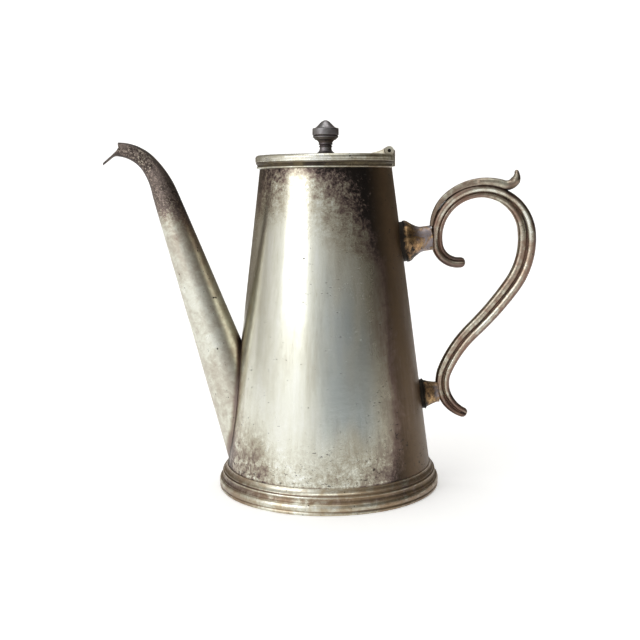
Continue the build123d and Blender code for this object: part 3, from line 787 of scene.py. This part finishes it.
def strand(name, stations, outline, closing, material):
    """A strand along stations in the handle's plane; outline gives its section at unit depth."""
    rings, shares, runs = [], [], []
    start, end = rounded_end(stations[0], -closing), rounded_end(stations[-1], closing)
    for x, y, heading, depth, number, run in [*reversed(start), *stations, *end]:
        h = math.radians(heading)
        side = wall_out * -math.sin(h) + wall_up * math.cos(h)
        middle = upper_wall + wall_out * x + wall_up * y
        section = outline(number, run)
        rings.append([(middle + side * u * depth + Vector((0, v * depth, 0))) * MM for u, v in section])
        shares += [u for u, v in section]
        runs += [run] * len(section)
    made = skin(name, rings, material)
    for label, values in (("share", shares + [0.0, 0.0]), ("run", runs + [0.0, runs[-1]])):
        made.data.attributes.new(label, "FLOAT", "POINT").data.foreach_set("value", values)
    return made


# Where the groove lies across the depth, on the loop and on the grip, and the run where it shifts
PARTING_ON_LOOP, PARTING_ON_GRIP = -0.14, -0.02
GRIP_FROM, GRIP_TO = 40, 90
REED_WIDTH = 1.15


def reeds(number, run):
    """Two lobes and the groove between them, as (depth, half width) round the section."""
    points = []
    on_grip = min(1.0, max(0.0, (run - GRIP_FROM) / (GRIP_TO - GRIP_FROM)))
    parting = PARTING_ON_LOOP + (PARTING_ON_GRIP - PARTING_ON_LOOP) * on_grip
    for sign in (1, -1):
        centre, radius = (sign * 0.5 + parting) / 2, (0.5 - sign * parting) / 2
        for turn in range(-152, 153, 8):
            t = math.radians(turn)
            points.append((centre + sign * radius * math.cos(t), sign * radius * REED_WIDTH * math.sin(t)))
    return points


def handle_dirt_and_shade(place, cloud, spots):
    """Painted shade, black in the groove and, with dirt, where the leaf lifts off; brown towards both
    edges, on the inner reed and the outer side, partly tarnish.
    """
    # Painted shadow in the crevice under the leaf, partly dirt.
    crevice_shadow_and_dirt = near_point(place, 100.6, 160.6).step(5.5, 2.0) * 0.5
    foot = near_point(place, 72, 41).step(14, 4) * 0.35
    curl = near_point(place, 69, 123).step(13, 5) * 0.25
    share = place.node("ShaderNodeAttribute", {"attribute_name": "share"}, output=2)
    run = place.node("ShaderNodeAttribute", {"attribute_name": "run"}, output=2)
    on_grip = run.step(GRIP_FROM, GRIP_TO)
    parting = on_grip * (PARTING_ON_GRIP - PARTING_ON_LOOP) + PARTING_ON_LOOP
    # Painted shade in the groove between the reeds.
    groove_shade = (share - parting).math("ABSOLUTE").step(0.085, 0.02) * 0.8
    # Painted shade, partly brown tarnish: towards both edges as seen from the camera.
    inner_edge_shade = (parting - share).step(0.02, 0.16) * (0.42 - on_grip * 0.22)
    outer_edge_shade = (share - parting).step(0.20, 0.44) * (0.28 + on_grip * 0.26)
    return crevice_shadow_and_dirt + foot + curl + groove_shade + (inner_edge_shade + outer_edge_shade) * (spots * 0.8 + 0.6)


handle_line = walk(*HANDLE_START, HANDLE_HEADING, HANDLE_START_DEPTH, HANDLE_ARCS, 0.8)
handle = strand("handle_scroll_cast", handle_line, reeds, 1.0, plated(
    "handle_silver", film=0.24, clouds=0.5, mottle=0.5, tone=(0.34, 0.21, 0.15, 1), tone_share=0.6,
    dirt_and_shade=handle_dirt_and_shade, pitted=0.55, smooth=0.17, relief_depth=0.2))
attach(handle, "pot")
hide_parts("handle_scroll")


# ---------------------------------------------------------------------------------------------
# Thumb leaf: a thin flat strand soldered round the outside of the loop, ribbed along its middle,
# its end curled up clear of the handle as a rest for the thumb.
# ---------------------------------------------------------------------------------------------
LEAF_START, LEAF_HEADING, LEAF_START_DEPTH, SPUR_FROM = (17.6, 7.2), 77.2, 2.0, 36
LEAF_ARCS = [(22.8, -46.9, 3.3), (32.3, -56.2, 5.4), (5.6, 80.0, 5.2), (5.6, 38.0, 2.6)]


def leaf_dirt_and_shade(place, cloud, spots):
    """Brown painted shade along the edge that sits on the loop, and black in the crevice where it leaves
    the loop, painted shadow with dirt.
    """
    share = place.node("ShaderNodeAttribute", {"attribute_name": "share"}, output=2)
    # Painted shadow in the crevice under the leaf, partly dirt.
    crevice_shadow_and_dirt = near_point(place, 100.6, 160.6).step(6.0, 2.5) * 0.5
    # Painted shade along the edge that sits on the loop.
    return crevice_shadow_and_dirt + share.step(-0.25, -0.45) * 0.45 + spots * 0.25


def leaf_section(number, run):
    """A flat oval, with a rib along its middle until the spur begins."""
    rib = 0.25 if run < SPUR_FROM else 0.0
    turns = [math.tau * j / 40 for j in range(40)]
    return [(0.5 * math.cos(t), 0.62 * math.sin(t) * (1 + rib * math.cos(2 * t))) for t in turns]


leaf_line = walk(*LEAF_START, LEAF_HEADING, LEAF_START_DEPTH, LEAF_ARCS, 0.7)
leaf = strand("thumb_leaf_curled", leaf_line, leaf_section, 1.4, plated(
    "leaf_silver", film=0.40, clouds=0.4, mottle=0.5, tone=(0.34, 0.25, 0.17, 1), tone_share=0.5,
    dirt_and_shade=leaf_dirt_and_shade, pitted=0.5, smooth=0.2, relief_depth=0.2))
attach(leaf, "pot")
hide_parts("thumb_leaf")


# ---------------------------------------------------------------------------------------------
# Hinge on the pot: a curved strap let into the rim, with three of the five knuckles, and a plain
# brass pin through them all, its ends left brown. Grey silver, clouded and pitted.
# ---------------------------------------------------------------------------------------------
hinge_silver = plated("hinge_silver", film=0.42, clouds=0.4, mottle=0.5, pitted=0.6)
finish_node("hinge_bracket", hinge_silver)
finish_node("hinge_pin", brass("pin_brass", 7.0))


# ---------------------------------------------------------------------------------------------
# Lid: a low-domed sheet plate in a moulded border, a collar below it that drops into the mouth,
# and a wedge-shaped hinge leaf soldered on top. Grey-brown film, the border rubbed paler.
# ---------------------------------------------------------------------------------------------
def border_shade_and_tarnish(place, cloud, spots):
    """Painted shade towards both sides, partly tarnish, and a painted shadow in a dark line where the
    border sits on the rim.
    """
    x, y, z = split(place)
    side = x.math("ARCTAN2", 0.0 - y)
    # Painted shade, partly tarnish: darker towards both sides as seen from the camera.
    edges = side.step(-0.4, 0.7) + side.step(-0.9, -1.4)
    # Painted shadow: a dark line where the border sits on the rim.
    seat = (z * 1000).step(178.2, 177.8)
    return edges * (spots * 0.40 + 0.06) + seat * 0.3


lid_silver = plated("lid_silver", film=0.36, clouds=0.4, mottle=0.5, pitted=0.6)
border_outline = to_metres([
    (33.52, 177.8), (37.75, 177.8), ((37.95, 177.95), (38.0, 178.3)), (38.0, 179.2),
    ((37.85, 180.5), (36.9, 181.35)), (36.5, 181.5), (36.1, 181.5), ((35.6, 181.3), (35.25, 180.9)),
    (35.2, 180.9), (35.2, 179.6), (33.52, 179.6),
])
border_silver = plated("border_silver", film=0.08, clouds=0.35, mottle=0.4, tone=(0.46, 0.38, 0.22, 1),
                       tone_share=0.35, dirt_and_shade=border_shade_and_tarnish)
border = lathe("lid_border_moulded", border_outline, border_silver, step=0.3 * MM)

# Room for the pot's knuckles, for its strap inside the hinge's length, and for the swing behind it
HINGE_X, HINGE_Z = 33.5 * MM, 183.2 * MM
HINGE_HALF_ROOM = 12.3
KNUCKLE_ROOM, STRAP_ROOM, SWING_ROOM = 2.7 * MM, 34.9 * MM, 5.4 * MM
LOW, HIGH = 170, 195
rod_start = Matrix.Translation((HINGE_X, -HINGE_HALF_ROOM * MM, HINGE_Z))
along_y = rod_start @ Matrix.Rotation(-math.pi / 2, 4, "X")


def rod(name, radius, start, end, turns):
    """A rod along the hinge's axis to cut with."""
    outline = [(0, start), (radius, start), (radius, end), (0, end)]
    return lathe(name, outline, None, turns=turns, step=100 * MM, place=along_y)


barrel = rod("barrel", KNUCKLE_ROOM, 0, 2 * HINGE_HALF_ROOM * MM, 48)
notch = lathe("notch", [
    (STRAP_ROOM, 176 * MM), (45 * MM, 176 * MM), (45 * MM, 190 * MM), (STRAP_ROOM, 190 * MM),
], None, step=30 * MM)
carve(notch, block((-50, -50, LOW), (29, 50, HIGH)))
carve(notch, block((20, -50, LOW), (50, -HINGE_HALF_ROOM, HIGH)))
carve(notch, block((20, HINGE_HALF_ROOM, LOW), (50, 50, HIGH)))
swing = block((HINGE_X / MM, -40, LOW), (45, 40, HIGH))
carve(swing, rod("swing", SWING_ROOM, -30 * MM, 60 * MM, 96))
carve(border, barrel, notch, swing)
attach(border, "lid")
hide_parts("lid_border")
finish_node("lid_plate", lid_silver)
finish_node("lid_bezel", inner_silver)
finish_node("lid_hinge_leaf", hinge_silver)


# ---------------------------------------------------------------------------------------------
# Finial: a solid turned urn on a waisted stem with fine rings, held from inside the lid by its
# stud, a washer and a hexagonal nut. Dark grey silver with a mauve cast and dirt in its rings.
# ---------------------------------------------------------------------------------------------
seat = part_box("finial")[0].z
finial_outline = to_metres([
    (0, 0.0), (4.9, 0.0), (4.95, 0.35), (4.6, 0.6), ((3.75, 1.3), (3.25, 2.6)), (3.2, 3.5), (3.65, 3.75),
    (3.65, 4.05), (3.25, 4.25), (3.3, 4.75), (3.85, 4.95), (3.9, 5.3), (3.6, 5.5), ((4.2, 6.7), (5.6, 7.5)),
    (6.05, 7.9), (6.2, 8.4), ((6.9, 8.9), (6.6, 9.5)), (6.55, 9.7), (7.0, 9.95), (7.1, 10.3), (7.1, 13.1),
    (6.95, 13.5), (6.0, 13.75), (5.4, 13.9), ((4.3, 14.9), (2.7, 16.5)), ((1.6, 17.35), (0.6, 17.78)),
    (0, 17.8),
], seat)


def finial_dirt(place, cloud, spots):
    """Dirt round the foot and in the rings of the stem and the urn."""
    x, y, z = split(place)
    z = (z - seat) * 1000
    rings = (z - 4.5).math("ABSOLUTE").step(0.9, 0.2) + (z - 9.6).math("ABSOLUTE").step(0.6, 0.1)
    return (rings + z.step(1.2, 0.2)) * (spots * 0.5 + 0.2)


GREY_STOPS = [
    (0.0, (0.50, 0.50, 0.49)),
    (0.5, (0.20, 0.20, 0.20)),
    (0.8, (0.07, 0.065, 0.06)),
    (1.0, (0.02, 0.02, 0.02)),
]
finial_silver = plated("finial_silver", film=0.50, clouds=0.45, mottle=0.6, tone=(0.24, 0.19, 0.21, 1),
                       tone_share=0.5, dirt_and_shade=finial_dirt, pitted=0.4, stops=GREY_STOPS, smooth=0.2,
                       relief_depth=0.2)
finial = lathe("finial_urn", finial_outline, finial_silver, turns=128, step=0.25 * MM)
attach(finial, "lid")
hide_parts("finial")
for name in ("finial_stud", "finial_washer", "finial_nut"):
    finish_node(name, inner_silver)


# ---------------------------------------------------------------------------------------------
# The studio: a pale floor that runs up into a pale backdrop, a large soft light at the front
# left, a darker side at the right, and the camera a little under the lid's rim.
# ---------------------------------------------------------------------------------------------
CAMERA_DISTANCE = 536.07 * MM
CAMERA_HEIGHT = 166.56 * MM
CAMERA_PITCH = 0.13896
CAMERA_ROLL = -0.01065
CAMERA_LENS = 55.06
CAMERA_ASIDE = -4.05 * MM

camera_data = bpy.data.cameras.new("camera")
camera = bpy.data.objects.new("camera", camera_data)
bpy.context.scene.collection.objects.link(camera)
camera_data.lens = CAMERA_LENS
camera_data.sensor_width = 36.0
camera_data.clip_start = 0.01
view = Matrix.Rotation(math.pi / 2 - CAMERA_PITCH, 4, "X") @ Matrix.Rotation(CAMERA_ROLL, 4, "Z")
camera.matrix_world = Matrix.Translation((CAMERA_ASIDE, -CAMERA_DISTANCE, CAMERA_HEIGHT)) @ view
bpy.context.scene.camera = camera

bpy.context.scene.view_settings.view_transform = "Standard"

floor_material, place = new_material("floor_paper")
paper = floor_material.node_tree.nodes["Principled BSDF"]
paper.inputs["Roughness"].default_value = 0.9
paper.inputs["Emission Color"].default_value = (1.0, 1.0, 1.0, 1.0)
paper.inputs["Emission Strength"].default_value = 0.34
paper_tone = grain(place, 3, 2.0).ramp((0.0, (0.90, 0.90, 0.89)), (1.0, (0.94, 0.94, 0.935)))
floor_material.node_tree.links.new(paper_tone.socket, paper.inputs["Base Color"])

turns = [t * math.pi / 24 for t in range(13)]
sweep = [(0.9 + 0.6 * math.sin(turn), 0.6 - 0.6 * math.cos(turn)) for turn in turns]
for name, rows in (("floor", [(-2.0, 0.0), (0.9, 0.0)]), ("backdrop", [*sweep, (1.5, 2.2)])):
    corners = [(x, y, z) for y, z in rows for x in (-2.5, 2.5)]
    quads = [(2 * i, 2 * i + 1, 2 * i + 3, 2 * i + 2) for i in range(len(rows) - 1)]
    paper_sheet = build_mesh(name, corners, quads, floor_material)
    paper_sheet.visible_glossy = name == "floor"


def soft_light(name, place, size, power):
    """A square area light that faces the middle of the pot."""
    lamp_data = bpy.data.lights.new(name, "AREA")
    lamp_data.shape = "RECTANGLE"
    lamp_data.size, lamp_data.size_y = size, size
    lamp_data.energy = power
    lamp = bpy.data.objects.new(name, lamp_data)
    bpy.context.scene.collection.objects.link(lamp)
    lamp.location = place
    lamp.rotation_euler = (Vector((0, 0, 0.1)) - Vector(place)).to_track_quat("-Z", "Y").to_euler()


soft_light("window", (-1.3, -1.2, 0.9), 1.3, 7)
soft_light("overhead", (0.0, 0.1, 1.6), 0.9, 5)

# The room round the pot, as (degrees from the camera's side, left below 0, brightness, warmth)
ROOM = [
    (-180, 0.42, 0.3), (-160, 0.22, 0.6), (-135, 0.32, 0.7), (-119, 0.45, 0.5), (-112, 1.0, 0.3),
    (-105, 0.50, 0.4), (-86, 0.88, 0.2), (-66, 1.15, 0.05), (-47, 1.28, 0), (-29, 1.08, 0), (-12, 0.72, 0),
    (4, 0.52, 0.1), (21, 0.36, 0.2), (38, 0.24, 0.3), (56, 0.15, 0.6), (76, 0.06, 0.8), (98, 0.02, 1),
    (107, 0.03, 1), (111, 0.65, 0.8), (115, 0.05, 1), (135, 0.11, 1), (155, 0.20, 0.7), (180, 0.42, 0.3),
]
ROOM_STRENGTH = 1.3
world = bpy.data.worlds.new("studio")
bpy.context.scene.world = world
world.use_nodes = True
room = Signal(world.node_tree)
direction = room.node("ShaderNodeTexCoord", output=0)
x, y, z = split(direction)
around = x.math("ARCTAN2", 0.0 - y) / math.tau + 0.5
tones = [
    (degrees / 360 + 0.5, tuple(tone / ROOM_STRENGTH * (1 - loss * warmth) for loss in (0, 0.14, 0.34)))
    for degrees, tone, warmth in ROOM
]
seen = room.node("ShaderNodeLightPath", output=0)
shade = around.ramp(*tones)
shade = shade.mix((0.42, 0.42, 0.41, 1), z.step(0.6, 1.0)).mix((0.8, 0.8, 0.8, 1), seen)
background = world.node_tree.nodes["Background"]
world.node_tree.links.new(shade.socket, background.inputs["Color"])
background.inputs["Strength"].default_value = ROOM_STRENGTH
